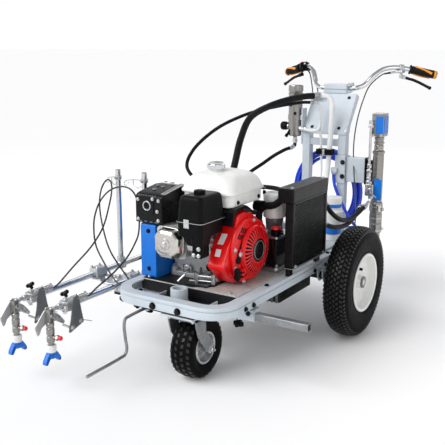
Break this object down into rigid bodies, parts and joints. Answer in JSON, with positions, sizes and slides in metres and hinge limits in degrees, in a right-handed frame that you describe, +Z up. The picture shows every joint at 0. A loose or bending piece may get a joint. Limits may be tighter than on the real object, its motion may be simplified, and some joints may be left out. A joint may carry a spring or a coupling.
{
  "type": "line striping machine",
  "caption": "Walk-behind airless line striper: three-wheeled deck with petrol engine, hydraulic paint pump, handlebar mast and side-mounted spray guns.",
  "frame": {"origin": "bottom centre of the bounding box, on the ground", "axes": "+Z up; -Y is the front, towards the caster and spray guns; +X is the operator's left; +Y is the handlebar end, along the machine's length"},
  "size_m": [0.871, 1.7622, 0.975],
  "materials": {
    "frame_paint": "satin grey-blue enamel",
    "deck_sheet": "dark satin enamel",
    "black_paint": "semi-gloss black enamel",
    "zinc": "zinc plated",
    "chrome": "polished",
    "stainless": "turned stainless",
    "cast_alloy": "as cast",
    "red_paint": "gloss red enamel",
    "white_paint": "gloss white enamel",
    "blue_paint": "satin blue enamel",
    "black_plastic": "moulded black",
    "black_rubber": "matt",
    "tyre_rubber": "treaded",
    "blue_hose": "smooth hose cover",
    "blue_plastic": "moulded blue",
    "cable_black": "cable jacket",
    "pale_pipe": "pale hose cover"
  },
  "bodies": {
    "chassis": {"deck_frame": "frame_paint", "nose_plate": "frame_paint", "deck_plate": "deck_sheet", "under_tank": "black_paint", "rear_axle": "zinc", "beam_sleeve": "frame_paint", "mast_frame": "frame_paint", "mast_plate": "frame_paint", "handlebar": "chrome", "grip_left": "black_rubber", "grip_right": "black_rubber", "engine_block": "cast_alloy", "valve_cover": "cast_alloy", "fan_shroud": "red_paint", "fuel_tank": "white_paint", "air_cleaner_base": "black_plastic", "air_cleaner_cover": "black_plastic", "muffler": "black_paint", "belt_cover": "blue_paint", "hydraulic_pump": "cast_alloy", "oil_cooler": "black_paint", "oil_tank": "black_paint", "oil_filter": "white_paint", "paint_pump": "stainless", "paint_filter": "stainless", "supply_pipes": "pale_pipe", "suction_hose": "black_rubber", "paint_hose": "blue_hose"},
    "wheel_left": {"rear_rim_left": "white_paint", "rear_tyre_left": "tyre_rubber"},
    "wheel_right": {"rear_rim_right": "white_paint", "rear_tyre_right": "tyre_rubber"},
    "caster": {"caster_fork": "zinc"},
    "caster_wheel": {"caster_rim": "cast_alloy", "caster_tyre": "tyre_rubber"},
    "brake": {"brake_lever": "black_paint"},
    "trigger": {"trigger_lever": "black_paint"},
    "crank": {"crankshaft": "zinc"},
    "pump_pulley": {"driven_pulley": "zinc"},
    "recoil": {"recoil_handle": "black_plastic"},
    "switch": {"engine_switch": "zinc"},
    "fuel_lid": {"fuel_cap": "chrome"},
    "air_nut": {"air_cleaner_nut": "black_plastic"},
    "breather": {"breather_cap": "black_plastic"},
    "drain_lever": {"manifold_lever": "chrome"},
    "pressure": {"pressure_knob": "black_plastic"},
    "beam_clamp": {"beam_knob": "black_plastic"},
    "pointer": {"pointer_rod": "zinc"},
    "beam": {"gun_beam": "zinc", "gun_carrier": "zinc"},
    "bar_outer": {"gun_bar_outer": "chrome", "gun_body_outer": "stainless", "gun_cable_outer": "cable_black"},
    "gun_lever_outer": {"gun_lever_outer": "zinc"},
    "guard_outer": {"tip_guard_outer": "blue_plastic"},
    "bar_inner": {"gun_bar_inner": "chrome", "gun_body_inner": "stainless", "gun_cable_inner": "cable_black"},
    "gun_lever_inner": {"gun_lever_inner": "zinc"},
    "guard_inner": {"tip_guard_inner": "blue_plastic"}
  },
  "joints": [
    {"name": "wheel_left_spin", "type": "hinge", "parent": "chassis", "child": "wheel_left", "pos_m": [0.3495, 0.1189, 0.205], "axis": [1, 0, 0], "continuous": true},
    {"name": "wheel_right_spin", "type": "hinge", "parent": "chassis", "child": "wheel_right", "pos_m": [-0.3105, 0.1189, 0.205], "axis": [1, 0, 0], "continuous": true},
    {"name": "caster_swivel", "type": "hinge", "parent": "chassis", "child": "caster", "pos_m": [0.0675, -0.5491, 0.22], "axis": [0, 0, 1], "continuous": true},
    {"name": "caster_wheel_spin", "type": "hinge", "parent": "caster", "child": "caster_wheel", "pos_m": [0.0675, -0.5041, 0.1046], "axis": [1, 0, 0], "continuous": true},
    {"name": "brake_squeeze", "type": "hinge", "parent": "chassis", "child": "brake", "pos_m": [0.2555, 0.7749, 0.924], "axis": [0.5389, -0.7989, 0.267], "range_deg": [0, 16], "stiffness_Nm_per_rad": 0.4},
    {"name": "trigger_squeeze", "type": "hinge", "parent": "chassis", "child": "trigger", "pos_m": [-0.2165, 0.7749, 0.924], "axis": [0.5389, 0.7989, -0.267], "range_deg": [0, 16], "stiffness_Nm_per_rad": 0.4},
    {"name": "crank_spin", "type": "hinge", "parent": "chassis", "child": "crank", "pos_m": [0.0195, -0.3031, 0.396], "axis": [1, 0, 0], "continuous": true},
    {"name": "pump_pulley_spin", "type": "hinge", "parent": "chassis", "child": "pump_pulley", "pos_m": [-0.1455, -0.1311, 0.396], "axis": [1, 0, 0], "continuous": true},
    {"name": "recoil_pull", "type": "slide", "parent": "chassis", "child": "recoil", "axis": [0, -1, 0], "range_m": [0, 0.45], "stiffness_N_per_m": 25},
    {"name": "switch_throw", "type": "hinge", "parent": "chassis", "child": "switch", "pos_m": [0.1548, -0.3931, 0.4], "axis": [1, 0, 0], "range_deg": [0, 35]},
    {"name": "fuel_cap_turn", "type": "hinge", "parent": "chassis", "child": "fuel_lid", "pos_m": [0.0195, -0.3131, 0.66], "axis": [0, 0, 1], "range_deg": [0, 90]},
    {"name": "air_nut_turn", "type": "hinge", "parent": "chassis", "child": "air_nut", "pos_m": [0.0595, -0.4691, 0.6], "axis": [0, 0, 1], "range_deg": [0, 360]},
    {"name": "breather_turn", "type": "hinge", "parent": "chassis", "child": "breather", "pos_m": [0.1725, -0.1711, 0.43], "axis": [0, 0, 1], "range_deg": [0, 180]},
    {"name": "drain_lever_turn", "type": "hinge", "parent": "chassis", "child": "drain_lever", "pos_m": [0.2525, 0.4739, 0.478], "axis": [0, 1, 0], "range_deg": [0, 90]},
    {"name": "pressure_turn", "type": "hinge", "parent": "chassis", "child": "pressure", "pos_m": [-0.1725, 0.5389, 0.712], "axis": [1, 0, 0], "range_deg": [0, 300]},
    {"name": "beam_knob_turn", "type": "hinge", "parent": "chassis", "child": "beam_clamp", "pos_m": [0.1845, -0.4361, 0.19], "axis": [0, 0, 1], "range_deg": [0, 180]},
    {"name": "pointer_fold", "type": "hinge", "parent": "chassis", "child": "pointer", "pos_m": [-0.0745, -0.5301, 0.23], "axis": [0, 1, 0], "range_deg": [0, 80]},
    {"name": "beam_reach", "type": "slide", "parent": "chassis", "child": "beam", "axis": [-1, 0, 0], "range_m": [0, 0.15]},
    {"name": "bar_outer_slide", "type": "slide", "parent": "beam", "child": "bar_outer", "axis": [0, -1, 0], "range_m": [-0.01, 0.035]},
    {"name": "gun_lever_outer_lift", "type": "hinge", "parent": "bar_outer", "child": "gun_lever_outer", "pos_m": [-0.39575, -0.8311, 0.25], "axis": [1, 0, 0], "range_deg": [0, 12]},
    {"name": "guard_outer_turn", "type": "hinge", "parent": "bar_outer", "child": "guard_outer", "pos_m": [-0.4075, -0.8311, 0.13], "axis": [0, 0, 1], "range_deg": [-90, 90]},
    {"name": "bar_inner_slide", "type": "slide", "parent": "beam", "child": "bar_inner", "axis": [0, -1, 0], "range_m": [-0.01, 0.035]},
    {"name": "gun_lever_inner_lift", "type": "hinge", "parent": "bar_inner", "child": "gun_lever_inner", "pos_m": [-0.24275, -0.8311, 0.25], "axis": [1, 0, 0], "range_deg": [0, 12]},
    {"name": "guard_inner_turn", "type": "hinge", "parent": "bar_inner", "child": "guard_inner", "pos_m": [-0.2545, -0.8311, 0.13], "axis": [0, 0, 1], "range_deg": [-90, 90]}
  ],
  "couplings": [
    {"joint": "pump_pulley_spin", "follows": "crank_spin", "ratio": 1.2667},
    {"joint": "gun_lever_outer_lift", "follows": "trigger_squeeze", "ratio": 0.75},
    {"joint": "gun_lever_inner_lift", "follows": "trigger_squeeze", "ratio": 0.75}
  ]
}
